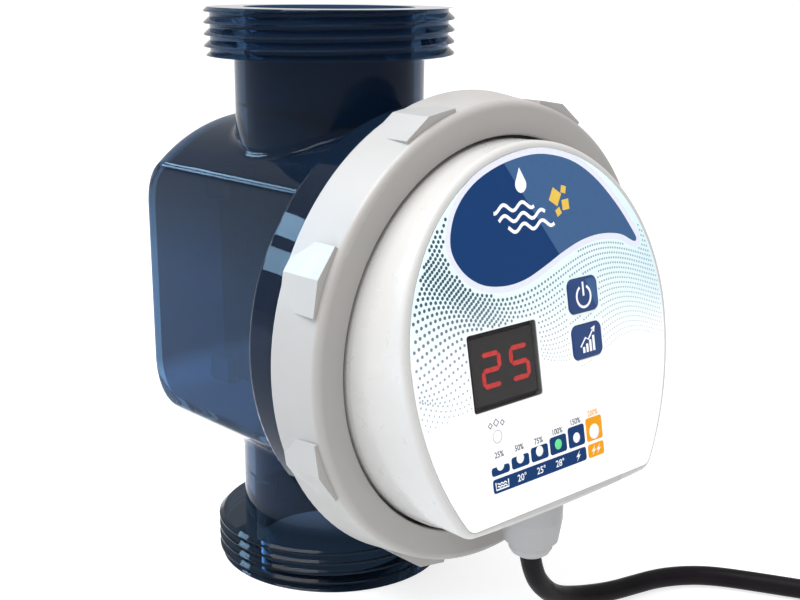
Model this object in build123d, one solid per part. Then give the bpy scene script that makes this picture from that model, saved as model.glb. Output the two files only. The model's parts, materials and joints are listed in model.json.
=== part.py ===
from build123d import *
import math
import os

os.makedirs("parts", exist_ok=True)

# Inline salt chlorine generator. Millimetres, +Z up along the pipe, the control head looks along -Y.
# The origin is the centre of the lower port's sealing face.

# Driving dimensions
port_to_port = 214.0
head_height = port_to_port / 2
bore_r = 31.0
socket_r = 31.5
socket_depth = 34.0
neck_r = 35.2
collar_h = 17.0
collar_root_r = 43.8
collar_crest_r = 46.0
collar_pitch = 4.1
tank_r = 66.0
tank_half_width = 45.0
tank_back = 61.0
tank_corner = 15.0
tank_edge = 4.5
tank_wall = 4.0
drum_r = 76.0
drum_back = 48.0
drum_shoulder = 67.0
drum_front = 78.5
drum_bore_r = 70.5
thread_root_r = 74.2
thread_crest_r = 75.7
ring_pitch = 4.0
ring_back = 68.4
ring_front = 88.2
ring_back_r = 82.0
ring_front_r = 79.5
ring_hole_r = 68.6
ring_bore_r = 76.3
ring_thread_crest_r = 74.9
lug_count = 8
lug_half_span = 8.0
face_depth = 112.2
face_tilt = 11.2
cover_base_r = 67.5
cover_neck_front = 90.0
cover_wall = 2.6
face_top_r = 64.5
face_side_r = 95.0
face_rise = 4.8
face_bottom = 51.0
face_corner_r = 7.0
cable_d = 7.4

# Distances forward from the pipe axis, inside the head
flange_t = 4.0
flange_r = 73.5
flange_front = drum_front + flange_t
cover_back = flange_front + 1.0
floor_back = 65.0
floor_front = 69.0
board_t = 1.6
power_board_back = 72.0
power_board_front = power_board_back + board_t

# Depths behind the sloping face
recess = 0.4
label_t = 0.6
key_back = -4.0
module_front = -0.85
module_step = -3.75
window_back = -0.4
control_front = -10.4
control_back = control_front - board_t

# Head frame: x is X, y is height above the head's centre, z is distance forward from the pipe axis
HEAD = Plane(origin=(0, 0, head_height), x_dir=(1, 0, 0), z_dir=(0, -1, 0))
tilt = math.radians(face_tilt)
# Face frame, inside the head frame: x across, y up the sloping face, z out of it
FACE = Plane(origin=(0, 0, face_depth), x_dir=(1, 0, 0), z_dir=(0, math.sin(tilt), math.cos(tilt))).location

LOW = (Align.CENTER, Align.CENTER, Align.MIN)


# Helpers


def save(name, shapes, place=HEAD.location):
    """Places one shape, or a list of them, and writes their solids as one node."""
    listed = shapes if isinstance(shapes, list) else [shapes]
    solids = [solid for shape in listed for solid in (place * shape).solids()]
    node = solids[0] if len(solids) == 1 else Compound(children=solids)
    node.label = name
    export_step(node, f"parts/{name}.step")


def disc(r, low, high, x=0, y=0):
    """Cylinder along z between two heights."""
    return Pos(x, y, low) * Cylinder(r, high - low, align=LOW)


def turned(solid):
    """Half a turn about z, which keeps a cylinder's seam away from the start of a thread."""
    return Rot(0, 0, 180) * solid


def tube(r_out, r_in, low, high, x=0, y=0):
    return disc(r_out, low, high, x, y) - disc(r_in, low - 1, high + 1, x, y)


def block(x0, x1, y0, y1, z0, z1, corner=0.0):
    """Box between two corners, its z edges rounded."""
    place = Pos((x0 + x1) / 2, (y0 + y1) / 2, z0)
    if not corner:
        return place * Box(x1 - x0, y1 - y0, z1 - z0, align=LOW)
    return place * extrude(RectangleRounded(x1 - x0, y1 - y0, corner), z1 - z0)


def spin(points):
    """Solid of revolution about z from (radius, height) points."""
    return revolve(Plane.XZ * make_face(Polyline(*points, close=True)), Axis.Z)


def round_top(solid, radius):
    return fillet(solid.edges().group_by(Axis.Z)[-1], radius)


def helical_ridge(r_base, r_tip, half_base, half_tip, skew, pitch, low, high, at):
    """Right-hand thread ridge, cut square at low and high; its middle crosses +x at the height at."""
    start = at - pitch * math.ceil((at - low) / pitch + 1)
    turns = math.ceil((high - start) / pitch) + 1
    sink = math.copysign(0.1, r_tip - r_base)
    foot = r_base - sink
    section = Plane.XZ * make_face(
        Polyline(
            (foot - 6 * sink, -half_base),
            (foot, -half_base),
            (r_tip, skew - half_tip),
            (r_tip, skew + half_tip),
            (foot, half_base),
            (foot - 6 * sink, half_base),
            close=True,
        )
    )
    ridge = Pos(0, 0, start) * sweep(section, path=Helix(pitch, pitch * turns, r_base), is_frenet=True)
    return ridge & disc(max(r_base, r_tip) + 5, low, high)


def hex_nut(across_flats, low, high, hole, x=0, y=0):
    nut = Pos(x, y, low) * extrude(RegularPolygon(across_flats / 2, 6, major_radius=False), high - low)
    return nut - disc(hole, low - 1, high + 1, x, y)


def screw(shank_r, head_r, head_t, length):
    """Pan-head cross-recess screw along -z, the underside of its head at zero."""
    head = round_top(disc(head_r, 0, head_t), head_t * 0.4)
    cross = Box(head_r * 1.2, 0.6, 1.6) + Box(0.6, head_r * 1.2, 1.6)
    return head + disc(shank_r, -length, 0.1) - Pos(0, 0, head_t) * cross


# Cell body


def tank_shape(radius, half_width, back, front, corner):
    """Drum-shaped tank along the head's axis, its two sides cut flat, its back corner rounded."""
    side = Line((0, front), (radius, front)) + Line((radius, front), (radius, corner - back))
    turn = RadiusArc((radius, corner - back), (radius - corner, -back), corner)
    end = Line((radius - corner, -back), (0, -back)) + Line((0, -back), (0, front))
    rounded = revolve(Plane.XZ * make_face(side + turn + end), Axis.Z)
    return rounded & block(-half_width, half_width, -radius, radius, -back, front)


def port_collar(low, high, at):
    """Threaded union collar between two heights on the pipe axis."""
    core = turned(disc(collar_root_r, low, high))
    ridge = helical_ridge(collar_root_r, collar_crest_r, 1.55, 0.25, -0.75, collar_pitch, low, high, at)
    return core + ridge


def tank_outside():
    """Tank and drum, with their edges rounded, in the head frame."""
    tank = tank_shape(tank_r, tank_half_width, tank_back, drum_back + 6, tank_corner)
    flats = tank.faces().filter_by(Axis.X)
    rims = [e for face in flats for e in face.edges() if e.center().Z < drum_back + 5]
    tank = fillet(rims, tank_edge)
    drum = disc(drum_r, drum_back, drum_shoulder)
    drum = fillet(drum.edges().group_by(Axis.Z)[0], 2.5)
    body = tank + drum + turned(disc(thread_root_r, drum_shoulder - 1, drum_front))
    seam = [
        e for e in body.edges()
        if abs(e.bounding_box().max.Z - drum_back) < 0.02 and e.bounding_box().size.Z < 0.04
        and math.hypot((e @ 0.5).X, (e @ 0.5).Y) < tank_r + 1
    ]
    return fillet(seam, 3.0)


def port_bore():
    """Half of the way between the ports: a socket, a short taper and the narrower bore inside."""
    taper_end = socket_depth + 2 * (socket_r - bore_r)
    return spin([
        (0, -1), (socket_r, -1), (socket_r, socket_depth), (bore_r, taper_end), (bore_r, head_height), (0, head_height),
    ])


def cell_cavity():
    """Water space: the tank and the head's opening, with the bores of the two ports through them."""
    tank = tank_shape(
        tank_r - tank_wall, tank_half_width - tank_wall, tank_back - tank_wall, drum_back + 8, tank_corner - tank_wall
    )
    opening = disc(drum_bore_r, drum_back + 6, drum_front + 1)
    lower = port_bore()
    upper = Pos(0, 0, port_to_port) * Rot(180, 0, 0) * lower
    return HEAD.location * (tank + opening) + lower + upper


def cell_body():
    """Translucent moulding: tank, drum with the ring's thread, and two necks with threaded collars."""
    neck = disc(neck_r, collar_h - 4, port_to_port - collar_h + 4)
    body = HEAD.location * tank_outside() + neck
    saddle = [
        e for e in body.edges()
        if abs(math.hypot((e @ 0.3).X, (e @ 0.3).Y) - neck_r) < 0.05
        and e.bounding_box().size.Z > 1 and e.geom_type != GeomType.LINE
        and 25 < e.center().Z < port_to_port - 25
    ]
    body = fillet(saddle, 4.5)
    body = body + port_collar(0, collar_h, 1.9)
    body = body + port_collar(port_to_port - collar_h, port_to_port, port_to_port - 2.4)
    body = body - cell_cavity()
    thread = helical_ridge(
        thread_root_r, thread_crest_r, 1.15, 0.65, 0, ring_pitch, drum_shoulder, drum_front - 0.4, drum_shoulder + 0.2
    )
    return body + HEAD.location * thread


# Lock ring


def lug(angle):
    """Grip lug: a low two-faced ridge, level along the ring, that stands out as the ring tapers."""
    foot_r, end_r, tip_r = 77.5, 81.0, 82.9
    outline = [(foot_r, -1), (end_r, -1), (tip_r, 0), (end_r, 1), (foot_r, 1)]
    flat = []
    for r, side in outline:
        a = math.radians(angle + side * lug_half_span)
        flat.append((r * math.cos(a), r * math.sin(a)))
    low = ring_back + 0.6
    return Pos(0, 0, low) * extrude(make_face(Polyline(*flat, close=True)), ring_front - 2.6 - low)


def lock_ring():
    """Hand nut with an inward shoulder and a thread that matches the drum's, half a pitch away."""
    ring = spin([(0, ring_back), (ring_back_r, ring_back), (ring_front_r, ring_front), (0, ring_front)])
    ring = fillet(ring.edges().group_by(Axis.Z)[-1], 2.8)
    ring = fillet(ring.edges().group_by(Axis.Z)[0], 0.8)
    for k in range(lug_count):
        ring = ring + lug(22.5 + k * 360 / lug_count)
    ring = ring - turned(disc(ring_bore_r, ring_back - 1, cover_back))
    ring = ring - disc(ring_hole_r, cover_back - 1, ring_front + 1)
    mouth = [e for e in ring.edges().group_by(Axis.Z)[-1] if abs(e.bounding_box().size.X - 2 * ring_hole_r) < 0.1]
    ring = fillet(mouth, 0.6)
    thread = helical_ridge(
        ring_bore_r, ring_thread_crest_r, 1.15, 0.65, 0, ring_pitch,
        ring_back + 0.8, cover_back - 2.3, drum_shoulder + 0.2 + ring_pitch / 2,
    )
    return ring + thread


def slip_washer():
    """Flat washer between the ring's shoulder and the carrier's flange."""
    return tube(73.4, 68.9, flange_front + 0.05, cover_back - 0.05)


# Electrode cartridge

plate_count = 7
plate_gap = 6.0
plate_t = 1.0
stud_y = 25.0
bus_back = 59.5
bus_front = 62.5
board_posts = [(-41, 28), (41, 28), (-41, -28), (41, -28)]
cover_screw_sites = [(-50, 20), (50, 20), (-50, -20), (50, -20)]
cover_screw_seat = cover_neck_front


def plate_x(k):
    return (k - (plate_count - 1) / 2) * plate_gap


def electrode_carrier():
    """Dished end plate: closes the cell, holds the electrodes and floors the electronics."""
    body = disc(flange_r, drum_front, flange_front) + disc(drum_bore_r - 0.4, floor_back, drum_front)
    body = body - tube(80, 67.5, 71.2, 74.8) - disc(64.0, floor_front, flange_front + 1)
    for x, y in board_posts:
        body = body + disc(3.2, floor_front - 1, power_board_back, x, y) - disc(1.2, 67.5, 80, x, y)
    for y in (stud_y, -stud_y):
        body = body + disc(7.0, bus_front + 0.1, floor_back + 1, 0, y) - disc(3.05, 50, 90, 0, y)
    for x, y in cover_screw_sites:
        body = body + disc(4.0, floor_front - 1, flange_front, x, y) - disc(1.25, floor_front + 2, 90, x, y)
    return body


def head_seal():
    """O-ring in the carrier's groove."""
    section = Plane.XZ * Pos(69.0, 73.0) * Circle(1.4)
    return revolve(section, Axis.Z)


def electrode_plates(first, tab_y):
    """Every second titanium sheet, with a tab towards its bus bar."""
    plates = []
    for k in range(first, plate_count, 2):
        x0 = plate_x(k) - plate_t / 2
        sheet = block(x0, x0 + plate_t, -40, 40, -45, 54)
        plates.append(sheet + block(x0, x0 + plate_t, tab_y - 7, tab_y + 7, 53, bus_back))
    return plates


def bus_bar(y):
    return block(-21, 21, y - 7, y + 7, bus_back, bus_front)


def plate_comb(y):
    """Slotted spacer across the plates' back edges."""
    comb = block(-22, 22, y - 5, y + 5, -50, -38, 1.5)
    for k in range(plate_count):
        comb = comb - block(plate_x(k) - 0.6, plate_x(k) + 0.6, y - 6, y + 6, -46, -37)
    return comb


# Front cover


def face_outline(inset):
    """Face's edge as six arcs or lines, each a start, a middle and an end: round top, flatter sides, level foot."""
    top_r = face_top_r - inset
    side_r = face_side_r - inset
    foot = -face_bottom + inset
    corner = face_corner_r - min(inset, 3.0)
    side_x = face_side_r - face_top_r
    corner_x = side_x - math.sqrt((side_r - corner) ** 2 - (face_rise - foot - corner) ** 2)
    corner_y = foot + corner
    out = math.atan2(corner_y - face_rise, corner_x - side_x) % (2 * math.pi)
    touch = (side_x + side_r * math.cos(out), face_rise + side_r * math.sin(out))
    half = (out + math.pi) / 2
    waist = (side_x + side_r * math.cos(half), face_rise + side_r * math.sin(half))
    turn = (out + 1.5 * math.pi) / 2
    bend = (corner_x + corner * math.cos(turn), corner_y + corner * math.sin(turn))
    left = [(-top_r, face_rise), waist, touch, bend, (corner_x, foot)]
    right = [(-x, y) for x, y in left]
    return [
        (right[0], (0, face_rise + top_r), left[0]),
        (left[0], left[1], left[2]),
        (left[2], left[3], left[4]),
        (left[4], (0, foot), right[4]),
        (right[4], right[3], right[2]),
        (right[2], right[1], right[0]),
    ]


def face_sheet(inset):
    """The face's outline, inset, as a flat shape."""
    edges = []
    for start, middle, end in face_outline(inset):
        level = start[1] == end[1] == middle[1]
        edges.append(Line(start, end) if level else ThreePointArc(start, middle, end))
    return make_face(edges)


def base_sheet(radius):
    """Disc whose edge is split in the directions of the face outline's joints."""
    edges = []
    for corners in face_outline(0):
        edges.append(ThreePointArc(*[(radius * x / math.hypot(x, y), radius * y / math.hypot(x, y)) for x, y in corners]))
    return make_face(edges)


def cover_shape(wall, back):
    """Round at the back, D-shaped at its sloping face, everywhere that much inside the cover's outside."""
    base = Pos(0, 0, cover_neck_front) * base_sheet(cover_base_r - wall)
    nose = loft([base, FACE * Pos(0, 0, -wall) * face_sheet(wall)], ruled=True)
    return disc(cover_base_r - wall, back, cover_neck_front) + nose


display_box = (-37.7, -6.1, -11.75, 12.5)
key_half_w = 7.5
key_half_h = 5.7
key_places = {"power": (18.5, 16.7), "level": (18.5, 1.15)}
salt_lamp_place = (-29.1, -20.85)
level_lamp_places = [(-29.3 + 9.4 * k, -30.1) for k in range(6)]
lamp_r = 1.5
control_posts = [(-38, 32), (38, 32), (-38, -32), (38, -32)]


def display_block(grow, low, high):
    x0, x1, y0, y1 = display_box
    return block(x0 - grow, x1 + grow, y0 - grow, y1 + grow, low, high, max(0.2, 0.8 + grow))


def key_block(place, grow, low, high):
    x, y = place
    return block(
        x - key_half_w - grow, x + key_half_w + grow, y - key_half_h - grow, y + key_half_h + grow, low, high, 2.5 + grow
    )


def face_openings(clear):
    """Bars through the face for the display, the keys and the lamps."""
    bars = display_block(clear, -8, 4)
    for place in key_places.values():
        bars = bars + key_block(place, clear, -8, 4)
    for x, y in [*level_lamp_places, salt_lamp_place]:
        bars = bars + disc(lamp_r + clear, -8, 4, x, y)
    return bars


def front_cover():
    """White shell with a recessed face, screw towers and the posts of the control board."""
    shell = cover_shape(0, cover_back)
    rim = [e for e in shell.edges() if abs((FACE.inverse() * e).center().Z) < 0.02]
    shell = fillet(rim, 2.2) - cover_shape(cover_wall, cover_back - 1)
    for x, y in cover_screw_sites:
        shell = shell + (disc(4.6, cover_back, 125, x, y) & cover_shape(1.0, cover_back))
    shell = shell - FACE * extrude(face_sheet(2.4), 5).moved(Pos(0, 0, -recess))
    for x, y in cover_screw_sites:
        shell = shell - disc(1.6, 80, 125, x, y) - disc(3.3, cover_screw_seat, 125, x, y)
    for x, y in control_posts:
        shell = shell + FACE * disc(3.2, control_front, -2.0, x, y) - FACE * disc(1.2, -11, -4.5, x, y)
    shell = shell - FACE * face_openings(0.3)
    return shell - gland_place() * disc(gland_r + 0.05, gland_low, gland_high)


def label_overlay():
    """Printed film in the face's recess."""
    film = extrude(face_sheet(2.6), label_t).moved(Pos(0, 0, -recess))
    return FACE * (film - face_openings(0.25))


def display_window():
    """Thin window with deep sides and a flange behind the face."""
    body = display_block(0, -2.7, 0.2) + display_block(1.2, -3.4, -2.65)
    return FACE * (body - display_block(-1.2, -4, window_back))


def button(name):
    """Soft-edged key with a flange behind the face that keeps it in."""
    cap = round_top(key_block(key_places[name], 0, key_back, 0.7), 0.35)
    return FACE * (cap + key_block(key_places[name], 1.2, key_back, -2.85))


# Display and control board

digit_places = [(-27.5, 0.3), (-14.3, 0.3)]
digit_half_w = 3.8
digit_half_h = 5.0
segment_half_t = 0.75
lit_bars = ["t ur m ll b", "t ul m lr b"]


def segment(x, y, half_length, upright):
    """One bar of a figure, with pointed ends."""
    flat = half_length - segment_half_t
    half = [(-half_length, 0), (-flat, segment_half_t), (flat, segment_half_t)]
    bar = extrude(make_face(Polyline(*half, *[(-px, -py) for px, py in half], close=True)), 0.25)
    return FACE * Pos(x, y, module_front) * (Rot(0, 0, 90) * bar if upright else bar)


def display_segments():
    """Lit bars of the two figures: t, m and b across, ul, ur, ll and lr down the sides."""
    bars = []
    for (cx, cy), lit in zip(digit_places, lit_bars):
        for name in lit.split():
            row = {"t": 1, "m": 0, "b": -1, "u": 0.5, "l": -0.5}[name[0]] * digit_half_h
            column = {"l": -1, "r": 1, "": 0}[name[1:]] * digit_half_w
            half_length = digit_half_h / 2 - 0.15 if len(name) == 2 else digit_half_w - 0.15
            bars.append(segment(cx + column, cy + row, half_length, len(name) == 2))
    return bars


def display_module():
    """Display block whose nose stands in the back of the window."""
    nose = display_block(-1.5, module_step - 0.1, module_front)
    return FACE * (display_block(-0.6, control_front, module_step) + nose)


def control_board():
    board = block(-43, 43, -36, 37, control_back, control_front, 4)
    for x, y in control_posts:
        board = board - disc(1.6, -20, 0, x, y)
    return FACE * board


def lamp(place):
    """Light-emitting diode with a domed tip."""
    x, y = place
    body = round_top(disc(lamp_r, control_front, -0.6, x, y), 1.2)
    return FACE * (body + disc(lamp_r + 0.4, control_front, control_front + 1.2, x, y))


def key_switch(name):
    x, y = key_places[name]
    return FACE * (block(x - 3, x + 3, y - 3, y + 3, control_front, -7, 0.4) + disc(1.7, -7.2, -4.8, x, y))


def control_board_screws():
    return [FACE * Pos(x, y, control_back) * Rot(180, 0, 0) * screw(1.1, 2.6, 1.8, 6) for x, y in control_posts]


# Power electronics on the carrier's floor

core_box = (-38, -10, -17, 9)
lead_xs = [11, 17, 23]
ribbon_y0, ribbon_y1 = -9, 3


def power_board():
    board = block(-44, 44, -32, 32, power_board_back, power_board_front, 3)
    for x, y in board_posts:
        board = board - disc(1.6, 60, 90, x, y)
    for y in (stud_y, -stud_y):
        board = board - disc(3.3, 60, 90, 0, y)
    return board


def transformer_core():
    """Laminated core with two windows for the winding."""
    x0, x1, y0, y1 = core_box
    core = block(x0, x1, y0, y1, power_board_front, 92)
    for x in (x0 + 4.5, x1 - 9.5):
        core = core - block(x, x + 5, y0 - 1, y1 + 1, 78.5, 87.5)
    return core


def transformer_winding():
    """Coil round the core's middle limb, in both of its windows."""
    x0, x1, y0, y1 = core_box
    outer = block(x0 + 4.8, x1 - 4.8, y0 - 4.5, y1 + 4.5, 78.8, 87.2, 3)
    return outer - block(x0 + 9.5, x1 - 9.5, y0 - 0.3, y1 + 0.3, 70, 95)


def capacitors():
    return [round_top(disc(7.0, power_board_front, 92, x, -3), 1.0) for x in (13, 28.5)]


def relays():
    return [block(x, x + 14, 12, 28, power_board_front, 89, 0.5) for x in (8, 24)]


def heat_sink():
    """Aluminium back with five fins."""
    sink = block(-38, -10, 19.6, 22.6, power_board_front, 89.6)
    for k in range(5):
        x = -38 + 6.6 * k
        sink = sink + block(x, x + 1.6, 22, 30, power_board_front, 89.6)
    return sink


def transistors():
    """Two packages flat against the heat sink, on three legs each."""
    made = []
    for x in (-31, -17):
        body = block(x - 5, x + 5, 15.1, 19.5, 78, 88)
        for leg in (-2.5, 0, 2.5):
            body = body + block(x + leg - 0.4, x + leg + 0.4, 16.5, 17.1, power_board_front, 78.5)
        made.append(body)
    return made


def terminal_block():
    bank = block(8, 26, -31, -21, power_board_front, 84, 0.5)
    for x in lead_xs:
        bank = bank - disc(1.6, 80.5, 90, x, -26)
    return bank


def fuse():
    return Pos(-36, -27.5, 78.5) * Rot(0, 90, 0) * disc(2.6, 0, 22)


def fuse_clips():
    return [
        block(x - 2, x + 2, -30.7, -24.3, power_board_front, 80) - Pos(-60, -27.5, 78.5) * Rot(0, 90, 0) * disc(2.65, 0, 80)
        for x in (-34, -16)
    ]


def control_header():
    return FACE * block(33.5, 39.5, -7.5, 8, -17, control_back)


def ribbon_cable():
    """Flat cable from the power board up to the control board."""
    middle = (ribbon_y0 + ribbon_y1) / 2
    path = Plane.XZ * FilletPolyline((41, 79), (41, 90), (37, 95), (37, 102), radius=[2, 2])
    strip = sweep(Plane((41, 0, 79)) * Rectangle(0.8, ribbon_y1 - ribbon_y0), path=path)
    return Pos(0, middle, 0) * strip - FACE * block(20, 50, -30, 30, -17, 20)


# Mains entry and cable

gland_forward = 107.4
gland_r = 10.6
gland_low = -73.4
gland_high = -45.5
cord_end = -41.0


def gland_place():
    """Axis of the mains entry: z runs up through the underside of the head."""
    return Pos(0, 0, gland_forward) * Rot(-90, 0, 0)


def strain_relief():
    """Stepped bush with a domed end round the cable."""
    r = cable_d / 2
    profile = [
        (r, gland_low), (r + 1.2, gland_low), (6.6, gland_low + 1.2), (7.6, gland_low + 3.0), (7.9, gland_low + 4.9),
        (9.4, gland_low + 5.9), (gland_r, gland_low + 14), (gland_r, gland_high), (r, gland_high),
    ]
    return gland_place() * spin(profile)


def inner_cable():
    """The cable's end inside the bush and the cover."""
    return gland_place() * disc(cable_d / 2 - 0.02, gland_low, cord_end)


def cord_grip():
    """Clamp ring on the cable, inside the cover."""
    return gland_place() * tube(7.0, cable_d / 2 + 0.02, gland_high + 0.1, gland_high + 3.5)


def mains_lead(k):
    """One core of the cable, bent over to its terminal; the one that goes furthest turns first."""
    start_x = 2.0 * (k - 1)
    turn_y = cord_end + 6.5 - 2.5 * k
    end_x = lead_xs[k]
    path = FilletPolyline(
        (start_x, cord_end, 105.4), (start_x, turn_y, 105.4), (end_x, -27, 96), (end_x, -26, 91), (end_x, -26, 82),
        radius=[1.8, 3, 3],
    )
    return sweep(Plane(origin=path @ 0, z_dir=path % 0) * Circle(0.9), path=path)


# Route of the cable on its way down and over the surface, from the bush to the coil
route = [
    (0, -107.4, 33.6), (1.9, -107.4, 25.8), (8.7, -106.6, 17.1), (18.3, -105.3, 9.9), (30.6, -105.6, 5.7),
    (44.5, -109.3, 4.0), (57, -111.6, 3.7), (68.6, -114.5, 3.7), (78.2, -119.8, 3.7), (86.1, -127.4, 3.7),
    (93.8, -140.6, 3.7), (103, -158, 3.7), (116.2, -180.2, 3.7), (128, -201, 3.7),
]
# From the coil to the plug
tail = [(92.8, -262.1, 25.9), (74, -261.2, 24.4), (56, -263, 20.2), (42, -265, 18.6), (28, -266, 18.6)]
coil_centre = (92.8, -221.4)
coil_inner_r = 29.6
coil_outer_r = 44.4
coil_height = 29.6
plug_length = 64.0
plug_r = 18.3
pin_r = 2.4
pin_half_gap = 9.5


def cord_tube(points, name):
    """Straight runs joined by arcs as large as the runs allow."""
    corners = [Vector(*p) for p in points]
    radii = []
    for before, here, after in zip(corners, corners[1:], corners[2:]):
        turn = math.radians((here - before).get_angle(after - here))
        shorter = min((here - before).length, (after - here).length)
        radii.append(0.45 * shorter / math.tan(turn / 2))
    path = FilletPolyline(*corners, radius=radii)
    cord = sweep(Plane(origin=path @ 0, z_dir=path % 0) * Circle(cable_d / 2), path=path)
    section = math.pi * cable_d**2 / 4
    print(name, "radii", [round(r, 1) for r in radii], "length", round(path.length, 1))
    print(name, "volume", round(cord.volume, 1), "section times length", round(section * path.length, 1))
    return cord


def cable_coil():
    """Outer shape of the wound length."""
    x, y = coil_centre
    return tube(coil_outer_r, coil_inner_r, 0, coil_height, x, y)


def plug_place():
    """The plug's own frame: z runs from its tail to its pins, x along the pins' row."""
    before, end = [Vector(*p) for p in tail[-2:]]
    return Plane(origin=end, x_dir=(0.1, 0.85, 0.5), z_dir=end - before).location


def plug_body():
    """Moulded plug: a flexible tail, a tapered grip and a round front with flats for the earth clips."""
    profile = [
        (0, 0), (4.6, 0), (6.4, 24), (9.0, 28), (13.5, 33), (16.6, 41), (plug_r, 50), (plug_r, plug_length), (0, plug_length),
    ]
    body = spin(profile)
    body = fillet(body.edges().group_by(Axis.Z)[-1], 1.0)
    for side in (-1, 1):
        body = body - block(-4, 4, side * 18 - 3, side * 18 + 3, 50, plug_length + 1)
    return body - disc(2.5, plug_length - 12, plug_length + 1, 0, 6)


def plug_pins():
    return [
        round_top(disc(pin_r, plug_length, plug_length + 19, side * pin_half_gap, 0), 1.6) for side in (-1, 1)
    ]


def earth_clips():
    return [block(-3, 3, side * 15.5 - 0.4, side * 15.5 + 0.4, 50.2, plug_length - 1) for side in (-1, 1)]


# Cell, ring and cartridge
save("cell_body", cell_body(), Location())
save("lock_ring", lock_ring())
save("slip_washer", slip_washer())
save("head_seal", head_seal())
save("electrode_carrier", electrode_carrier())
save("anode_plates", electrode_plates(0, stud_y))
save("cathode_plates", electrode_plates(1, -stud_y))
save("anode_bus_bar", bus_bar(stud_y))
save("cathode_bus_bar", bus_bar(-stud_y))
save("plate_combs", [plate_comb(38), plate_comb(-38)])
save("terminal_studs", [disc(3.0, bus_front, 80.5, 0, y) for y in (stud_y, -stud_y)])
save("stud_lock_nuts", [hex_nut(10, floor_front, 71.9, 3.0, 0, y) for y in (stud_y, -stud_y)])
save("terminal_nuts", [hex_nut(10, power_board_front, 78, 3.0, 0, y) for y in (stud_y, -stud_y)])

# Cover and front
save("cover_gasket", tube(67.4, 65.1, flange_front, cover_back))
save("front_cover", front_cover())
save("cover_screws", [Pos(x, y, cover_screw_seat) * screw(1.2, 3.0, 2.0, 17) for x, y in cover_screw_sites])
save("label_overlay", label_overlay())
save("display_window", display_window())
save("display_module", display_module())
save("display_segments", display_segments())
for key_name in key_places:
    save(f"{key_name}_button", button(key_name))
    save(f"{key_name}_switch", key_switch(key_name))
save("level_lamps", [lamp(place) for place in level_lamp_places])
save("salt_lamp", lamp(salt_lamp_place))
save("control_board", control_board())
save("control_board_screws", control_board_screws())
save("control_header", control_header())

# Power electronics
save("power_board", power_board())
save("power_board_screws", [Pos(x, y, power_board_front) * screw(1.1, 2.8, 1.9, 5) for x, y in board_posts])
save("transformer_core", transformer_core())
save("transformer_winding", transformer_winding())
save("capacitors", capacitors())
save("relays", relays())
save("heat_sink", heat_sink())
save("transistors", transistors())
save("terminal_block", terminal_block())
save("fuse", fuse())
save("fuse_clips", fuse_clips())
save("power_header", block(38.6, 43.4, ribbon_y0 - 1, ribbon_y1 + 1, power_board_front, 79))
save("ribbon_cable", ribbon_cable())

# Mains entry, cable and plug
save("strain_relief", strain_relief())
save("cord_grip", cord_grip())
save("inner_cable", inner_cable())
for k, lead_name in enumerate(["live_lead", "earth_lead", "neutral_lead"]):
    save(lead_name, mains_lead(k))
save("power_cable", cord_tube(route, "power_cable"), Location())
save("cable_coil", cable_coil(), Location())
save("plug_cable", cord_tube(tail, "plug_cable"), Location())
save("plug_body", plug_body(), plug_place())
save("plug_pins", plug_pins(), plug_place())
save("earth_clips", earth_clips(), plug_place())
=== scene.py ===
import json
import math

import bpy
from mathutils import Matrix, Vector


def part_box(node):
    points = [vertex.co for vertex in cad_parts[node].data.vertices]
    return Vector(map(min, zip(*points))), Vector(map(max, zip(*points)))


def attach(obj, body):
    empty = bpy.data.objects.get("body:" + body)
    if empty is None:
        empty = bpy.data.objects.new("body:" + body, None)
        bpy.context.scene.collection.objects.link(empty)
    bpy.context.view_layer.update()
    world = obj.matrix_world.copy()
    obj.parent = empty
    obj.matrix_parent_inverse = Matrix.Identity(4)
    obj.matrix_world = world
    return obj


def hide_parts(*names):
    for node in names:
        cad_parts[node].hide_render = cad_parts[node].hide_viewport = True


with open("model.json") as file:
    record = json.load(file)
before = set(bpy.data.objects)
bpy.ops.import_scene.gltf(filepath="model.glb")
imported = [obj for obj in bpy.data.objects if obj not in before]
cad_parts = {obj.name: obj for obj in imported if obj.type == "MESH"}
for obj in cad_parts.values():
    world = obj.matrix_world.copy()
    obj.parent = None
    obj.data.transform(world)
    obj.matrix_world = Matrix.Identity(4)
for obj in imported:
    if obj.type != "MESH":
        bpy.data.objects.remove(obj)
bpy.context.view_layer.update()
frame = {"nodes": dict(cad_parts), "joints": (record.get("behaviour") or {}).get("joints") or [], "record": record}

# The salt chlorine generator's finishes, prints and mains lead, around the CAD frame.
# Metres throughout, except that the artwork on the sloping face is set out in millimetres:
# x across it, v up it and n out of it.
MM = 0.001
CORD_R = 3.7 * MM


# Camera


def place_camera():
    """Camera a little above the control head and to its left, looking down at it."""
    heading, pitch, roll = math.radians(41.87), math.radians(17.47), math.radians(0.336)
    level = Vector((math.cos(heading), -math.sin(heading), 0))
    ahead = Vector((math.sin(heading), math.cos(heading), 0))
    up = Vector((0, 0, 1))
    lifted = up * math.cos(pitch) + ahead * math.sin(pitch)
    right = level * math.cos(roll) + lifted * math.sin(roll)
    top = lifted * math.cos(roll) - level * math.sin(roll)
    data = bpy.data.cameras.new("camera")
    data.sensor_width = 36
    data.lens = 56.05
    data.shift_x = 0.0355
    data.shift_y = 0.0839
    data.clip_end = 200
    camera = bpy.data.objects.new("camera", data)
    turn = Matrix((right, top, right.cross(top))).transposed()
    camera.matrix_world = Matrix.Translation((-0.30426, -0.36378, 0.22506)) @ turn.to_4x4()
    bpy.context.scene.collection.objects.link(camera)
    bpy.context.scene.camera = camera


# Finishes


def rgb(red, green, blue):
    """Linear colour of a screen colour given from 0 to 255."""
    shares = [c / 255 for c in (red, green, blue)]
    return (*[c / 12.92 if c < 0.04045 else ((c + 0.055) / 1.055) ** 2.4 for c in shares], 1.0)


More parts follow.
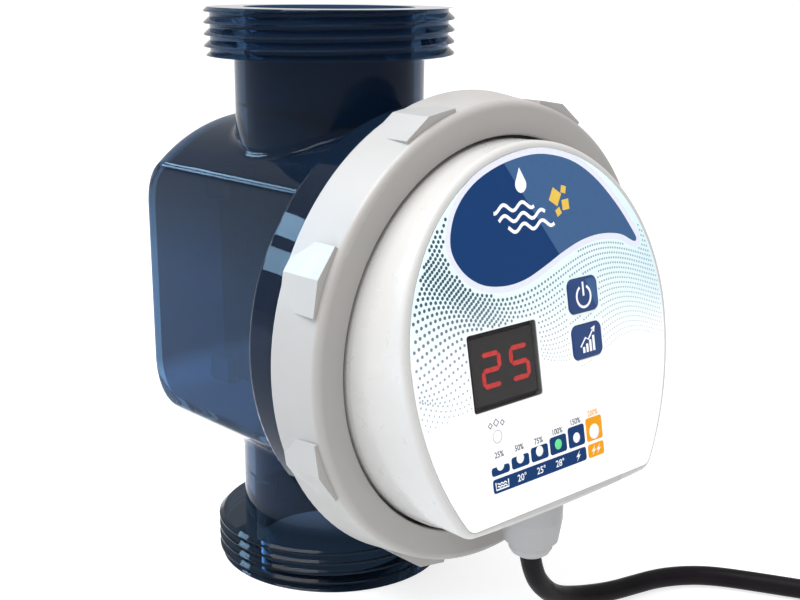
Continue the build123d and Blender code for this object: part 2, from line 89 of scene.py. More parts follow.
class Finish:
    """Node material whose detail follows the object's own coordinates, in metres."""

    def __init__(self, name, colour, roughness, **sockets):
        self.material = bpy.data.materials.new(name)
        self.material.use_nodes = True
        self.nodes = self.material.node_tree.nodes
        self.links = self.material.node_tree.links
        self.shader = self.nodes["Principled BSDF"]
        self.place = self.nodes.new("ShaderNodeTexCoord").outputs["Object"]
        self.shader.inputs["Base Color"].default_value = colour
        self.shader.inputs["Roughness"].default_value = roughness
        for socket, value in sockets.items():
            self.shader.inputs[socket.replace("_", " ")].default_value = value
        self.colour = self.shader.inputs["Base Color"].default_value[:]
        self.roughness = roughness
        self.height = None

    def node(self, kind, **inputs):
        made = self.nodes.new(kind)
        for socket, value in inputs.items():
            target = made.inputs[socket.replace("_", " ")]
            if isinstance(value, bpy.types.NodeSocket):
                self.links.new(value, target)
            else:
                target.default_value = value
        return made

    def math(self, operation, a, b=0.0):
        made = self.nodes.new("ShaderNodeMath")
        made.operation = operation
        for k, value in enumerate((a, b)):
            if isinstance(value, bpy.types.NodeSocket):
                self.links.new(value, made.inputs[k])
            else:
                made.inputs[k].default_value = value
        return made.outputs[0]

    def noise(self, scale, detail=3.0, stretch=(1, 1, 1)):
        mapped = self.node("ShaderNodeMapping", Vector=self.place, Scale=stretch)
        made = self.node("ShaderNodeTexNoise", Vector=mapped.outputs[0], Scale=scale, Detail=detail)
        return made.outputs[0]

    def spread(self, value, low, high, to_low=0.0, to_high=1.0):
        made = self.node(
            "ShaderNodeMapRange", Value=value, From_Min=low, From_Max=high, To_Min=to_low, To_Max=to_high
        )
        return made.outputs[0]

    def blend(self, share, first, second):
        """Colour between two colours; each is a value or a socket."""
        made = self.nodes.new("ShaderNodeMix")
        made.data_type = "RGBA"
        for socket, value in ((made.inputs[0], share), (made.inputs[6], first), (made.inputs[7], second)):
            if isinstance(value, bpy.types.NodeSocket):
                self.links.new(value, socket)
            else:
                socket.default_value = value
        return made.outputs[2]

    def paint(self, socket):
        self.links.new(socket, self.shader.inputs["Base Color"])
        return self

    def mottle(self, scale, amount, stretch=(1, 1, 1)):
        """Slow drift of the colour, darker and lighter by a small share."""
        dark = [c * (1 - amount) for c in self.colour[:3]] + [1]
        light = [min(1, c * (1 + amount)) for c in self.colour[:3]] + [1]
        return self.paint(self.blend(self.spread(self.noise(scale, 4, stretch), 0.3, 0.7), dark, light))

    def gloss(self, scale, amount, stretch=(1, 1, 1)):
        """Roughness that varies about its value, as handling and moulding leave it."""
        low, high = self.roughness * (1 - amount), min(1, self.roughness * (1 + amount))
        varied = self.spread(self.noise(scale, 3, stretch), 0.3, 0.7, low, high)
        self.links.new(varied, self.shader.inputs["Roughness"])
        return self

    def grain(self, scale, depth, stretch=(1, 1, 1), detail=2.0):
        """Fine surface relief, its depth in metres."""
        relief = self.noise(scale, detail, stretch)
        bump = self.node("ShaderNodeBump", Height=relief, Distance=depth, Strength=1.0)
        if self.height:
            self.links.new(self.height, bump.inputs["Normal"])
        self.height = bump.outputs[0]
        self.links.new(self.height, self.shader.inputs["Normal"])
        return self


# The cell's tones, from the top down: painted shade darkens the top, a painted reflection lightens the sides below
# a line, and the neck, collar and drum are darker; the line rises forwards by this share from the y given
# Painted shade: the darker tone at the top of the cell
PAINTED_SHADE_TOP = (0.026, 0.055, 0.105, 1)
TONE_MIDDLE = (0.050, 0.110, 0.205, 1)
# Painted reflection: the lighter tone low on the sides
PAINTED_REFLECTION_SIDE = (0.090, 0.180, 0.320, 1)
TONE_NECK = (0.055, 0.095, 0.170, 1)
TONE_COLLAR = (0.016, 0.030, 0.052, 1)
TONE_DRUM = (0.024, 0.052, 0.105, 1)
# Line of the painted reflection on the sides, and how fast it rises forwards
REFLECTION_LINE_Y = 0.0511
REFLECTION_SLOPE = 0.424


def tinted_cell():
    """Navy transparent moulding: painted shade darkens the top, a painted reflection lightens the sides low down,
    and it is darker round the neck, collar and drum.
    """
    made = Finish("cell_moulding", TONE_MIDDLE, 0.03, Transmission_Weight=0.86, IOR=1.16)
    parts = made.node("ShaderNodeSeparateXYZ", Vector=made.place)
    forward = made.math("SUBTRACT", REFLECTION_LINE_Y, parts.outputs[1])
    height = made.math("ADD", parts.outputs[2], made.math("MULTIPLY", made.noise(14, 2), 0.008))
    above = made.math("SUBTRACT", height, made.math("MULTIPLY", forward, REFLECTION_SLOPE))
    tone = TONE_MIDDLE
    for value, start, end, next_tone in (
        # Painted shade: darker towards the top
        (height, 0.120, 0.152, PAINTED_SHADE_TOP),
        # Painted reflection: lighter low on the sides, below the sloping line
        (above, 0.0800, 0.0735, PAINTED_REFLECTION_SIDE),
        (height, 0.066, 0.060, TONE_NECK),
        (height, 0.030, 0.022, TONE_COLLAR),
        (forward, 0.098, 0.101, TONE_DRUM),
    ):
        tone = made.blend(made.spread(value, start, end), tone, next_tone)
    made.paint(tone)
    made.gloss(60, 0.4)
    made.grain(24, 0.00012)
    return made


def moulded(name, colour, roughness, grain=900, depth=0.000012, **sockets):
    made = Finish(name, colour, roughness, **sockets)
    return made.mottle(35, 0.025).gloss(120, 0.15).grain(grain, depth)


def metal(name, colour, roughness, stretch=(1, 1, 1)):
    made = Finish(name, colour, roughness, Metallic=1.0)
    return made.mottle(160, 0.10, stretch).gloss(240, 0.35, stretch).grain(1600, 0.000006, stretch)


def circuit_board():
    """Green mask over copper tracks, with drilled rows."""
    made = Finish("board_green", rgb(24, 92, 52), 0.3, Coat_Weight=0.4)
    bricks = made.node("ShaderNodeTexBrick", Vector=made.place, Scale=60.0, Mortar_Size=0.03)
    bricks.inputs["Color1"].default_value = rgb(22, 84, 48)
    bricks.inputs["Color2"].default_value = rgb(34, 110, 60)
    bricks.inputs["Mortar"].default_value = rgb(70, 140, 84)
    made.paint(bricks.outputs[0])
    return made.grain(1200, 0.00001)


def label_film_finish(v_of):
    """White film, tinted pale cyan under the dots and fading to white below them."""
    made = Finish("label_film", rgb(250, 251, 252), 0.32, Coat_Weight=0.25)
    across = made.node("ShaderNodeSeparateXYZ", Vector=made.place)
    height = v_of(made, across)
    drift = made.math("MULTIPLY", made.noise(22, 2), 0.012)
    level = made.math("ADD", height, drift)
    tint = made.spread(level, 0.000, 0.030)
    cool = made.blend(tint, rgb(253, 254, 254), rgb(228, 245, 248))
    from_right = made.spread(across.outputs[0], 0.030, 0.058)
    low_cut = made.spread(height, 0.000, 0.012)
    blue = made.math("MULTIPLY", made.math("MULTIPLY", from_right, low_cut), 0.3)
    made.paint(made.blend(blue, cool, rgb(170, 208, 228)))
    return made.gloss(300, 0.12).grain(1500, 0.000004)


def ink(name, colour, roughness=0.5, **sockets):
    """Screen print: an even colour with the faint mesh of the screen in it."""
    sockets.setdefault("Specular_IOR_Level", 0.05)
    return Finish(name, colour, roughness, **sockets).mottle(900, 0.035).grain(2600, 0.000003)


def dot_ink(v_of):
    """Dots' ink, dark teal at the upper left and paler to the right and downwards."""
    made = Finish("dot_ink", rgb(30, 76, 96), 0.4)
    across = made.node("ShaderNodeSeparateXYZ", Vector=made.place)
    to_right = made.spread(across.outputs[0], -0.030, 0.045)
    down = made.spread(v_of(made, across), 0.026, -0.012)
    pale = made.math("MAXIMUM", made.math("MULTIPLY", to_right, 0.55), made.math("MULTIPLY", down, 0.75))
    return made.paint(made.blend(pale, rgb(22, 66, 88), rgb(190, 212, 222))).grain(2600, 0.000003)


def smoked_window():
    made = Finish("window_smoke", rgb(50, 48, 48), 0.12, Alpha=0.35, Specular_IOR_Level=0.25)
    return made.mottle(90, 0.08).gloss(180, 0.3).grain(500, 0.000004)


def lit_bars():
    """Red bars of the figures, a little brighter along their middles."""
    made = Finish("digit_red", rgb(190, 30, 30), 0.4, Emission_Strength=1.2)
    share = made.spread(made.noise(700, 2), 0.3, 0.7)
    glow = made.blend(share, (0.62, 0.02, 0.02, 1), (0.85, 0.045, 0.04, 1))
    made.links.new(glow, made.shader.inputs["Emission Color"])
    return made.paint(glow)


def striped_lead():
    """Earth core: green insulation with a yellow stripe."""
    made = Finish("lead_earth", rgb(40, 130, 50), 0.45)
    wave = made.node("ShaderNodeTexWave", Vector=made.place, Scale=180.0)
    made.paint(made.blend(made.spread(wave.outputs[1], 0.55, 0.6), rgb(40, 130, 50), rgb(220, 200, 50)))
    return made.grain(1500, 0.000006)


def cable_sheath():
    """Black sheath with the faint lines that extrusion leaves."""
    made = Finish("cable_black", rgb(22, 19, 22), 0.42, Specular_IOR_Level=0.08)
    return made.mottle(70, 0.25).gloss(140, 0.25).grain(1400, 0.00001).grain(160, 0.00003)


def finishes(v_of):
    """Every finish by the material slot of the record that it stands for."""
    return {
        "cell_moulding": tinted_cell(),
        "ring_grey": moulded("ring_grey", rgb(155, 152, 149), 0.42, 1100, 0.00002),
        "cover_white": moulded("cover_white", rgb(187, 186, 184), 0.3, 500, 0.000008, Coat_Weight=0.3),
        "label_film": label_film_finish(v_of),
        "window_smoke": smoked_window(),
        "key_navy": moulded("key_navy", rgb(24, 58, 112), 0.35, 1300, 0.00001, Specular_IOR_Level=0.25),
        "lamp_green": moulded("lamp_green", rgb(90, 200, 130), 0.2, Transmission_Weight=0.3),
        "lamp_clear": moulded("lamp_clear", rgb(235, 238, 236), 0.2, Transmission_Weight=0.3),
        "digit_red": lit_bars(),
        "module_black": moulded("module_black", rgb(70, 66, 66), 0.6),
        "board_green": circuit_board(),
        "header_black": moulded("header_black", rgb(38, 38, 40), 0.5),
        "ribbon_grey": moulded("ribbon_grey", rgb(150, 150, 156), 0.5),
        "carrier_grey": moulded("carrier_grey", rgb(34, 36, 42), 0.5, 500, 0.00004),
        "comb_white": moulded("comb_white", rgb(205, 208, 208), 0.45),
        "titanium": metal("titanium", rgb(150, 148, 146), 0.5, (1, 1, 0.1)),
        "stud_steel": metal("stud_steel", rgb(190, 190, 192), 0.28, (1, 0.1, 1)),
        "screw_steel": metal("screw_steel", rgb(180, 180, 184), 0.34),
        "seal_rubber": moulded("seal_rubber", rgb(34, 34, 35), 0.62, 900, 0.00003),
        "washer_nylon": moulded("washer_nylon", rgb(222, 220, 210), 0.4),
        "core_steel": metal("core_steel", rgb(96, 96, 100), 0.55, (0.05, 0.05, 14)),
        "winding_copper": metal("winding_copper", rgb(184, 104, 60), 0.4, (1, 6, 1)),
        "can_aluminium": moulded("can_aluminium", rgb(46, 58, 92), 0.35),
        "sink_aluminium": metal("sink_aluminium", rgb(200, 200, 204), 0.38, (1, 0.1, 1)),
        "terminal_green": moulded("terminal_green", rgb(54, 140, 84), 0.45),
        "fuse_glass": moulded("fuse_glass", rgb(225, 230, 230), 0.08, Transmission_Weight=0.9),
        "clip_brass": metal("clip_brass", rgb(206, 178, 112), 0.3),
        "bush_grey": moulded("bush_grey", rgb(158, 158, 159), 0.45, 800, 0.00003),
        "cable_black": cable_sheath(),
        "lead_brown": moulded("lead_brown", rgb(110, 66, 40), 0.45),
        "lead_blue": moulded("lead_blue", rgb(40, 84, 160), 0.45),
        "lead_earth": striped_lead(),
    }


def dress_nodes(made):
    """Puts each CAD node's finish in its material slots."""
    for part in frame["record"]["subparts"]:
        data = frame["nodes"][part["node"]].data
        data.materials.clear()
        data.materials.append(made[part["material_slot"]].material)


# Mains lead

# Route of the cable in millimetres, from the bush down and over the floor to its coil
ROUTE = [
    (0, -107.4, 33.6), (1.9, -107.4, 25.8), (8.7, -106.6, 17.1), (18.3, -105.3, 9.9), (30.6, -105.6, 5.7),
    (44.5, -109.3, 4.0), (57, -111.6, 3.7), (68.6, -114.5, 3.7), (78.2, -119.8, 3.7), (86.1, -127.4, 3.7),
    (93.8, -140.6, 3.7), (103, -158, 3.7), (116.2, -180.2, 3.7), (128, -201, 3.7),
]
# From the coil to the plug
TAIL = [(74, -261.2, 24.4), (56, -263, 20.2), (42, -265, 18.6), (28, -266, 18.6)]
COIL_CENTRE = (92.8, -221.4)
COIL_START = 30.1
COIL_TURNS = 6 + (COIL_START + 90) / 360
POINTS_PER_TURN = 18
COIL_RADII = (40.7, 33.3)
LAYER = 7.4
# Each step of the winding: the turn, the angle in it where the step begins, and its new column and row
WINDING = [
    (0, 300, 1, 0), (1, 240, 1, 1), (2, 180, 0, 1), (3, 120, 0, 2),
    (4, 60, 1, 2), (5, 0, 1, 3), (5, 300, 0, 3),
]
STEP_SPAN = 60 / 360


def coil_points():
    """The wound turns, clockwise from above: two across and four high, a diameter apart."""
    points = []
    pull_in = 0.75 + 0.25 * math.cos(2 * math.pi / POINTS_PER_TURN)
    for k in range(1, round(COIL_TURNS * POINTS_PER_TURN) + 1):
        turns = k * COIL_TURNS / round(COIL_TURNS * POINTS_PER_TURN)
        r, layer = COIL_RADII[0], 0.0
        for turn, begin, column, row in WINDING:
            share = min(1, max(0, (turns - turn - begin / 360) / STEP_SPAN))
            ease = share * share * (3 - 2 * share)
            r += (COIL_RADII[column] - r) * ease
            layer += (row - layer) * ease
        angle = math.radians(COIL_START - 360 * turns)
        x = COIL_CENTRE[0] + r / pull_in * math.cos(angle)
        y = COIL_CENTRE[1] + r / pull_in * math.sin(angle)
        points.append((x, y, CORD_R / MM + LAYER * layer))
    return points


def mains_lead(finish):
    """The whole lead as one smooth line, with its plug on the far end."""
    data = bpy.data.curves.new("mains_lead", "CURVE")
    data.dimensions = "3D"
    data.resolution_u = 6
    data.bevel_depth = CORD_R
    data.bevel_resolution = 6
    data.use_fill_caps = True
    spline = data.splines.new("NURBS")
    points = ROUTE + coil_points() + TAIL
    spline.points.add(len(points) - 1)
    for point, place in zip(spline.points, points):
        point.co = (*[c * MM for c in place], 1)
    spline.order_u = 3
    spline.use_endpoint_u = True
    spline.use_smooth = True
    data.materials.append(finish.material)
    lead = bpy.data.objects.new("mains_lead", data)
    bpy.context.scene.collection.objects.link(lead)
    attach(lead, "cell")
    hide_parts("power_cable", "cable_coil", "plug_cable")


# Sloping face

pressed = [joint for joint in frame["joints"] if joint["name"] == "power_press"][0]
OUT = -Vector(pressed["axis"]).normalized()
UP = Vector((0, OUT.z, -OUT.y))
FILM_FOOT_V = -48.4
FILM_T = 0.6
film_low, film_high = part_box("label_overlay")
FOOT = Vector((0, film_low.y, film_low.z + FILM_T * MM * OUT.z))
KEY_RISE = 0.5


def on_face(x, v, n):
    """World point of an artwork point, n measured from the film's surface."""
    return FOOT + Vector((x * MM, 0, 0)) + UP * (v - FILM_FOOT_V) * MM + OUT * n * MM


def face_height(finish, parts):
    """Node value of v in metres, from a finish's separated coordinates."""
    y = finish.math("MULTIPLY", finish.math("SUBTRACT", parts.outputs[1], FOOT.y), UP.y)
    z = finish.math("MULTIPLY", finish.math("SUBTRACT", parts.outputs[2], FOOT.z), UP.z)
    return finish.math("ADD", finish.math("ADD", y, z), FILM_FOOT_V * MM)


class Print:
    """Flat shapes on the sloping face, made into one thin raised piece."""

    SUNK = -0.02

    def __init__(self, name, lift, base=0.0):
        self.name, self.low, self.high = name, base + self.SUNK, base + lift
        self.points, self.faces = [], []

    def polygon(self, outline):
        first, count = len(self.points), len(outline)
        self.points += [(x, v, self.low) for x, v in outline] + [(x, v, self.high) for x, v in outline]
        self.faces.append([first + k for k in reversed(range(count))])
        self.faces.append([first + count + k for k in range(count)])
        for k in range(count):
            after = (k + 1) % count
            self.faces.append([first + k, first + after, first + count + after, first + count + k])
        return self

    def dot(self, x, v, r, sides=24):
        return self.polygon(circle(x, v, r, sides))

    def stroke(self, line, width, closed=False):
        """Line of even width, as a row of joined quadrilaterals."""
        edges = []
        for k, here in enumerate(line):
            before = line[k - 1] if k or closed else here
            after = line[(k + 1) % len(line)] if k + 1 < len(line) or closed else here
            dx, dv = after[0] - before[0], after[1] - before[1]
            length = math.hypot(dx, dv)
            nx, nv = -dv / length * width / 2, dx / length * width / 2
            edges.append(((here[0] + nx, here[1] + nv), (here[0] - nx, here[1] - nv)))
        first, count = len(self.points), len(edges)
        for left, right in edges:
            self.points += [(*left, self.low), (*right, self.low), (*left, self.high), (*right, self.high)]
        for k in range(count if closed else count - 1):
            a, b = first + 4 * k, first + 4 * ((k + 1) % count)
            self.faces += [
                [a + 2, a + 3, b + 3, b + 2], [a, b, b + 1, a + 1],
                [a, a + 2, b + 2, b], [a + 1, b + 1, b + 3, a + 3],
            ]
        if not closed:
            last = first + 4 * (count - 1)
            self.faces += [[first, first + 1, first + 3, first + 2], [last, last + 2, last + 3, last + 1]]
        return self

    def figures(self, text, x, v, height, narrow=1.0):
        """Figures from the built-in font, centred on x with their feet at v."""
        data = bpy.data.curves.new("figures", "FONT")
        data.body = text
        data.size = height / 0.69
        data.align_x = "CENTER"
        data.resolution_u = 3
        data.extrude = (self.high - self.low) / 2
        data.offset = 0.03
        holder = bpy.data.objects.new("figures", data)
        bpy.context.scene.collection.objects.link(holder)
        bpy.context.view_layer.update()
        mesh = bpy.data.meshes.new_from_object(holder)
        first, middle = len(self.points), (self.high + self.low) / 2
        self.points += [(x + p.co.x * narrow, v + p.co.y, middle + p.co.z) for p in mesh.vertices]
        self.faces += [[first + k for k in face.vertices] for face in mesh.polygons]
        bpy.data.objects.remove(holder)
        bpy.data.meshes.remove(mesh)
        return self

    def make(self, finish, slot="label_film", body="cell"):
        mesh = bpy.data.meshes.new(self.name)
        mesh.from_pydata([on_face(*p) for p in self.points], [], self.faces)
        mesh.validate()
        mesh.materials.append(finish.material)
        piece = bpy.data.objects.new(self.name, mesh)
        bpy.context.scene.collection.objects.link(piece)
        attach(piece, body)
        return piece


def circle(x, v, r, sides=24):
    angles = [2 * math.pi * k / sides for k in range(sides)]
    return [(x + r * math.cos(a), v + r * math.sin(a)) for a in angles]


def arc(x, v, r, start, end, steps=24):
    """Points along part of a circle, its angles in degrees."""
    angles = [math.radians(start + (end - start) * k / steps) for k in range(steps + 1)]
    return [(x + r * math.cos(a), v + r * math.sin(a)) for a in angles]


def panel(x0, x1, v0, v1, corner):
    """Rectangle with rounded corners."""
    left, right, low, high = x0 + corner, x1 - corner, v0 + corner, v1 - corner
    spots = [(right, high, 0), (left, high, 90), (left, low, 180), (right, low, 270)]
    return [p for x, v, start in spots for p in arc(x, v, corner, start, start + 90, 6)]


def smooth_loop(points, steps=8):
    """Closed curve through the points, with even tangents."""
    loop = []
    for k in range(len(points)):
        p0, p1, p2, p3 = [Vector(points[(k + j - 1) % len(points)]) for j in range(4)]
        for step in range(steps):
            t = step / steps
            square, cube = 2 * p0 - 5 * p1 + 4 * p2 - p3, 3 * p1 - p0 - 3 * p2 + p3
            p = 0.5 * (2 * p1 + (p2 - p0) * t + square * t**2 + cube * t**3)
            loop.append((p.x, p.y))
    return loop


def grown(loop, margin):
    """Closed outline moved outwards by a margin; the outline runs clockwise."""
    moved = []
    for k, (x, v) in enumerate(loop):
        before, after = loop[k - 1], loop[(k + 1) % len(loop)]
        dx, dv = after[0] - before[0], after[1] - before[1]
        length = math.hypot(dx, dv)
        moved.append((x - dv / length * margin, v + dx / length * margin))
    return moved


def clipped(loop, a, b):
    """The part of an outline to the left of the line from a to b."""
    def side(p):
        return (b[0] - a[0]) * (p[1] - a[1]) - (b[1] - a[1]) * (p[0] - a[0])

    kept = []
    for k, here in enumerate(loop):
        before = loop[k - 1]
        if (side(here) >= 0) != (side(before) >= 0):
            t = side(before) / (side(before) - side(here))
            kept.append((before[0] + (here[0] - before[0]) * t, before[1] + (here[1] - before[1]) * t))
        if side(here) >= 0:
            kept.append(here)
    return kept


def inside(p, loop):
    """Whether a point is within a closed outline."""
    crossed = False
    for k, (x1, v1) in enumerate(loop):
        x0, v0 = loop[k - 1]
        if (v0 > p[1]) != (v1 > p[1]) and p[0] < (x1 - x0) * (p[1] - v0) / (v1 - v0) + x0:
            crossed = not crossed
    return crossed


# Artwork

SHIELD = smooth_loop([
    (-40.2, 40.8), (-36.6, 50.6), (-27.6, 58.2), (-14.5, 63.0), (0, 64.9), (11.5, 63.7), (22, 60.2),
    (32, 53.6), (41.6, 43.9), (48.6, 34.6), (50.2, 31.5), (48.4, 30.9), (41.5, 34.2), (31.5, 35.6),
    (21.5, 34.9), (11.5, 32.4),
    (1.4, 28.9), (-8.7, 26.0), (-18.7, 25.4), (-28.7, 27.4), (-36.5, 32.8),
])
SPLIT_TOP, SPLIT_FOOT = (-17.5, 70), (11.5, 28)
WINDOW = (-37.7, -6.1, -11.75, 12.5)
KEYS = {"power": (18.5, 16.7), "level": (18.5, 1.15)}
KEY_HALF = (7.5, 5.7)
LAMP_STEP, LAMP_X, LAMP_V = 9.4, -29.3, -30.1
SALT_LAMP = (-29.1, -20.85)
BAR_TOPS = (-30.3, -29.2, -28.3, -27.2, -26.0, -25.0)
BAR_FOOT, BAR_HALF = -33.1, 4.2
STRIP = (-38.7, -34.1)
BOLT = ((0.9, 1.7), (-1.1, -0.3), (0, -0.3), (-0.9, -1.8), (1.2, 0.3), (0.1, 0.3))
OUTPUTS = ("25%", "50%", "75%", "100%", "150%", "200%")
FILM_CENTRE_V, FILM_TOP_R, FILM_SIDE_R = 4.8, 61.9, 92.4


def on_film(x, v, margin):
    """Whether a point of the artwork is on the film, that far inside its edge."""
    if v > FILM_CENTRE_V:
        return math.hypot(x, v - FILM_CENTRE_V) < FILM_TOP_R - margin
    return math.hypot(abs(x) + FILM_SIDE_R - FILM_TOP_R, v - FILM_CENTRE_V) < FILM_SIDE_R - margin


def wave_height(x, base):
    """Height of the dotted row whose mean height is base: the crests move right on the way down."""
    down = min(1, (30 - base) / 33.5)
    trough = -20 + 33 * down
    crest = 28 + 14 * down
    swing = 5.0 - 1.5 * down
    return base - swing * math.cos(math.pi * (x - trough) / (crest - trough))


def dots_foot(x):
    """Lower edge of the dotted area, through a few heights."""
    spots = [
        (-62, -13.6), (-40, -10.2), (-6, -1.0), (2, -3.2), (15, -7.2), (30, -3.4), (41, -0.3), (60, -3.4),
    ]
    for (x0, v0), (x1, v1) in zip(spots, spots[1:]):
        if x <= x1:
            share = max(0, (x - x0) / (x1 - x0))
            return v0 + (v1 - v0) * share * share * (3 - 2 * share)
    return spots[-1][1]


def wave_dots(finish):
    """Rows of dots that follow the waves, closer and finer to the right, smaller towards the foot."""
    dots = Print("label_dots", 0.02)
    keep_clear = grown(SHIELD, 2.9)
    base, row = 62.0, 0
    while base > -30:
        x = -61 + (row % 2) * 1.0
        while x < 61:
            v = wave_height(x, base)
            right = min(1, max(0, (x + 12) / 22))
            fade = min(1, max(0, (v - dots_foot(x)) / 26))
            r = (0.30 + 0.32 * fade) * (1 - 0.34 * right)
            if v > dots_foot(x) and is_free(x, v, keep_clear) and (x < -36 or v < 36):
                dots.dot(x, v, r, 7)
            x += 2.0 - 0.75 * right
        base -= 1.72
        row += 1
    return dots.make(finish)


def is_free(x, v, keep_clear):
    """Whether a dot may stand here: on the film and clear of the shield, the window and the keys."""
    x0, x1, v0, v1 = WINDOW
    gap = 1.1
    on_window = x0 - gap < x < x1 + gap and v0 - gap < v < v1 + gap
    half_w, half_h = KEY_HALF[0] + gap, KEY_HALF[1] + gap
    on_key = any(abs(x - kx) < half_w and abs(v - kv) < half_h for kx, kv in KEYS.values())
    return on_film(x, v, 0.9) and not (on_window or on_key or inside((x, v), keep_clear))


def shield(inks):
    """Two-tone shield with a pale border and a plain emblem of waves, a drop and crystals."""
    Print("shield_border", 0.02).polygon(grown(SHIELD, 2.0)).make(inks["lilac"])
    Print("shield_left", 0.035).polygon(clipped(SHIELD, SPLIT_FOOT, SPLIT_TOP)).make(inks["navy"])
    Print("shield_right", 0.035).polygon(clipped(SHIELD, SPLIT_TOP, SPLIT_FOOT)).make(inks["slate"])
    waves = Print("emblem_waves", 0.05)
    for row, (x0, x1) in enumerate(((-20, -1), (-18, 4), (-14, 8))):
        steps = [x0 + (x1 - x0) * k / 48 for k in range(49)]
        waves.stroke([(x, 49.4 - 3.4 * row + 1.1 * math.sin(x * 0.72)) for x in steps], 1.15)
    waves.make(inks["white"])
    drop = arc(-6.2, 56.0, 2.6, 150, 390, 20) + [(-6.2, 61.4)]
    Print("emblem_drop", 0.05).polygon(drop).make(inks["white"])
    crystals = Print("emblem_crystals", 0.05)
    for x, v, half, turn in (
        (9.6, 50.4, 2.3, 12), (14.4, 47.4, 1.7, 48), (14.0, 52.4, 1.2, 30), (10.6, 45.4, 1.2, 70),
    ):
        crystals.polygon(arc(x, v, half * math.sqrt(2), turn, turn + 270, 3))
    crystals.make(inks["gold"])


def level_scale(inks):
    """Six rising bars over a strip of small signs, with the output figures above them."""
    bars = Print("level_bars", 0.03)
    figures = Print("level_figures", 0.03)
    for k, top in enumerate(BAR_TOPS):
        x = LAMP_X + LAMP_STEP * k
        if k < 5:
            bars.polygon(panel(x - BAR_HALF, x + BAR_HALF, BAR_FOOT, top, 1.0))
            foot = max(top, LAMP_V + 2.0) + 0.6
            figures.figures(OUTPUTS[k], x, foot, 1.9, 0.9)
    bars.polygon(panel(LAMP_X - BAR_HALF, LAMP_X + 4 * LAMP_STEP + BAR_HALF, *STRIP, 1.0))
    bars.make(inks["navy"])
    figures.make(inks["caption"])
    x = LAMP_X + LAMP_STEP * 5
    boost = Print("boost_bar", 0.03).polygon(panel(x - BAR_HALF, x + BAR_HALF, BAR_FOOT, BAR_TOPS[5], 0.9))
    boost.polygon(panel(x - BAR_HALF, x + BAR_HALF, *STRIP, 0.9)).make(inks["orange"])
    Print("boost_figures", 0.03).figures(OUTPUTS[5], x, BAR_TOPS[5] + 0.5, 1.9, 0.9).make(inks["orange"])
    signs = Print("strip_signs", 0.05)
    middle = sum(STRIP) / 2
    for k, text in enumerate(("20°", "25°", "28°")):
        signs.figures(text, LAMP_X + LAMP_STEP * (k + 1), middle - 1.1, 2.2)
    x = LAMP_X
    left, right, low, high = x - 2.9, x + 2.9, middle - 1.2, middle + 1.2
    signs.stroke([(left, high), (left, low), (right, low), (right, high)], 0.5)
    for row in (0.5, -0.4):
        signs.stroke([(x - 2.2 + 0.22 * k, middle + row + 0.2 * math.sin(k * 0.9)) for k in range(21)], 0.4)
    for x in (LAMP_X + 4 * LAMP_STEP, LAMP_X + 5 * LAMP_STEP - 1.3, LAMP_X + 5 * LAMP_STEP + 1.3):
        signs.polygon([(x + dx, middle + dv) for dx, dv in reversed(BOLT)])
    signs.make(inks["white"])


def salt_sign(inks):
    """Ring round the salt lamp, and three crystals in place of a caption."""
    Print("salt_ring", 0.03).stroke(circle(*SALT_LAMP, 2.05, 32), 0.22, closed=True).make(inks["grey"])
    sign = Print("salt_crystals", 0.03)
    for x, v, half in ((-2.7, 4.0, 0.9), (0, 4.5, 1.2), (2.8, 4.0, 0.9)):
        x, v = x + SALT_LAMP[0], v + SALT_LAMP[1]
        sign.stroke([(x - half, v), (x, v + half), (x + half, v), (x, v - half)], 0.36, closed=True)
    sign.make(inks["caption"])


def key_signs(inks):
    """Signs on the two keys: a power sign, and bars under a rising arrow."""
    x, v = KEYS["power"]
    tone = clipped(panel(x - 6.9, x + 6.9, v - 5.1, v + 5.1, 2.2), (x + 1.2, v + 6), (x + 6.5, v - 6))
    Print("power_key_tone", 0.015, KEY_RISE).polygon(tone).make(inks["slate"], "key_navy", "power_key")
    sign = Print("power_sign", 0.03, KEY_RISE)
    sign.stroke(arc(x, v - 0.5, 3.6, 118, 422, 36), 0.85).stroke([(x, v + 4.4), (x, v - 0.3)], 0.85)
    sign.make(inks["white"], "key_navy", "power_key")
    x, v = KEYS["level"]
    sign = Print("level_sign", 0.03, KEY_RISE)
    for k, top in enumerate((-1.8, -0.9, 0.2, 1.4)):
        left = x - 3.0 + 1.75 * k
        sign.polygon([(left, v - 3.8), (left + 1.15, v - 3.8), (left + 1.15, v + top), (left, v + top)])
    sign.stroke([(x - 4.0, v - 1.6), (x - 1.2, v + 1.2), (x + 0.2, v + 0.4), (x + 3.2, v + 3.6)], 0.6)
    sign.polygon([(x + 4.1, v + 4.5), (x + 1.9, v + 3.9), (x + 3.6, v + 2.2)])
    sign.make(inks["white"], "key_navy", "level_key")


def lens(name, x, v, r, finish):
    """Domed clear window of the film over a lamp."""
    rings, sides, crown = 5, 28, 0.16
    points = [(x, v, 0.05 + crown)]
    for ring in range(1, rings + 1):
        share = ring / rings
        for px, pv in circle(x, v, r * share, sides):
            points.append((px, pv, 0.05 + crown * (1 - share**2)))
    points += [(px, pv, Print.SUNK) for px, pv in circle(x, v, r, sides)]
    piece = Print(name, 0.0)
    piece.points = points
    piece.faces = [[0, 1 + k, 1 + (k + 1) % sides] for k in range(sides)]
    for ring in range(rings):
        a, b = 1 + ring * sides, 1 + (ring + 1) * sides
        piece.faces += [[a + k, b + k, b + (k + 1) % sides, a + (k + 1) % sides] for k in range(sides)]
    foot = 1 + rings * sides
    piece.faces.append([foot + k for k in reversed(range(sides))])
    made = piece.make(finish, "lamp_clear")
    for face in made.data.polygons:
        face.use_smooth = len(face.vertices) < sides
    return made


def lamp_windows(inks):
    for k in range(6):
        lit = k == 3
        r = 2.6 if k == 5 else 1.75
        lens(f"level_lens_{k + 1}", LAMP_X + LAMP_STEP * k, LAMP_V, r, inks["lit" if lit else "lens"])
    lens("salt_lens", *SALT_LAMP, 1.9, inks["lens"])


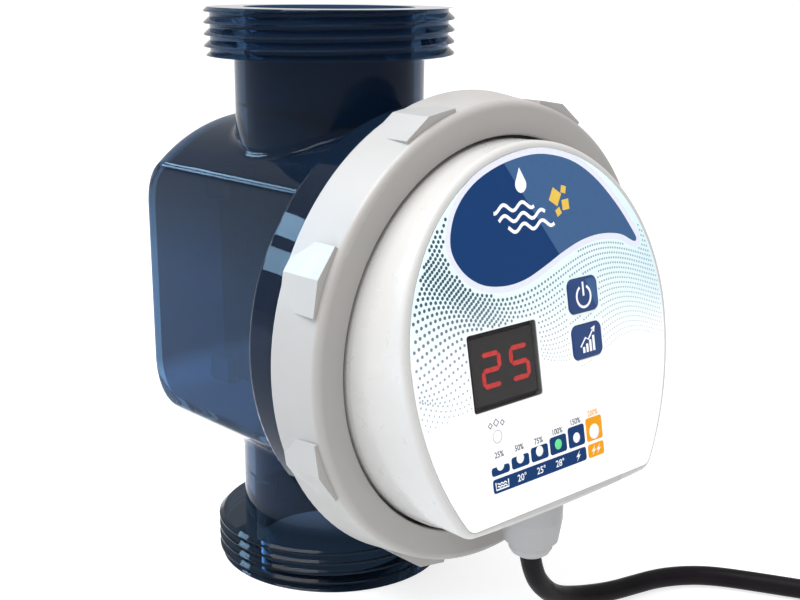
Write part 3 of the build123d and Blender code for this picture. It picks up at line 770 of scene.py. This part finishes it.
def print_inks():
    return {
        "navy": ink("ink_navy", rgb(22, 58, 108)),
        "slate": ink("ink_slate", rgb(64, 96, 138)),
        "lilac": ink("ink_lilac", rgb(224, 226, 238)),
        "white": ink("ink_white", rgb(245, 247, 250)),
        "gold": ink("ink_gold", rgb(226, 190, 84)),
        "orange": ink("ink_orange", rgb(240, 160, 24)),
        "caption": ink("ink_caption", rgb(44, 54, 84)),
        "grey": ink("ink_grey", rgb(168, 172, 178)),
        "lens": ink("lens_clear", rgb(246, 248, 248), 0.15, Coat_Weight=0.5),
        "lit": ink(
            "lens_lit", rgb(96, 200, 130), 0.15, Coat_Weight=0.5, Emission_Color=rgb(60, 200, 110),
            Emission_Strength=0.25,
        ),
    }


# Light and floor


def area_light(name, place, target, width, height, power, colour=(1, 1, 1)):
    data = bpy.data.lights.new(name, "AREA")
    data.shape = "RECTANGLE"
    data.size, data.size_y = width, height
    data.energy = power
    data.color = colour
    light = bpy.data.objects.new(name, data)
    light.location = place
    light.rotation_euler = (Vector(target) - Vector(place)).to_track_quat("-Z", "Y").to_euler()
    bpy.context.scene.collection.objects.link(light)
    return light


def light_studio():
    world = bpy.data.worlds.new("studio")
    world.use_nodes = True
    world.node_tree.nodes["Background"].inputs["Color"].default_value = (1, 1, 1, 1)
    world.node_tree.nodes["Background"].inputs["Strength"].default_value = 0.84
    bpy.context.scene.world = world
    bpy.context.scene.view_settings.view_transform = "Standard"
    middle = (0, 0, 0.11)
    area_light("key_light", (-0.55, 0.15, 1.55), middle, 1.0, 1.0, 34)
    area_light("window_low", (-0.66, 0.92, 0.50), middle, 0.5, 0.17, 6.5, (0.42, 0.70, 1))
    area_light("window_high", (-0.54, 0.92, 0.74), middle, 0.5, 0.15, 6.5, (0.42, 0.70, 1))


def lay_floor():
    """Pale floor, very slightly uneven in tone."""
    finish = Finish(
        "floor_pale", (0.42, 0.42, 0.42, 1), 0.9, Emission_Color=(1, 1, 1, 1), Emission_Strength=0.74
    )
    finish.mottle(3, 0.01)
    reach = 40
    mesh = bpy.data.meshes.new("floor")
    corners = [(-reach, -reach, 0), (reach, -reach, 0), (reach, reach, 0), (-reach, reach, 0)]
    mesh.from_pydata(corners, [], [(0, 1, 2, 3)])
    mesh.materials.append(finish.material)
    floor = bpy.data.objects.new("floor", mesh)
    bpy.context.scene.collection.objects.link(floor)
    floor.location.z = -0.0002


place_camera()
made = finishes(face_height)
dress_nodes(made)
mains_lead(made["cable_black"])
inks = print_inks()
shield(inks)
wave_dots(dot_ink(face_height))
level_scale(inks)
salt_sign(inks)
key_signs(inks)
lamp_windows(inks)
light_studio()
lay_floor()
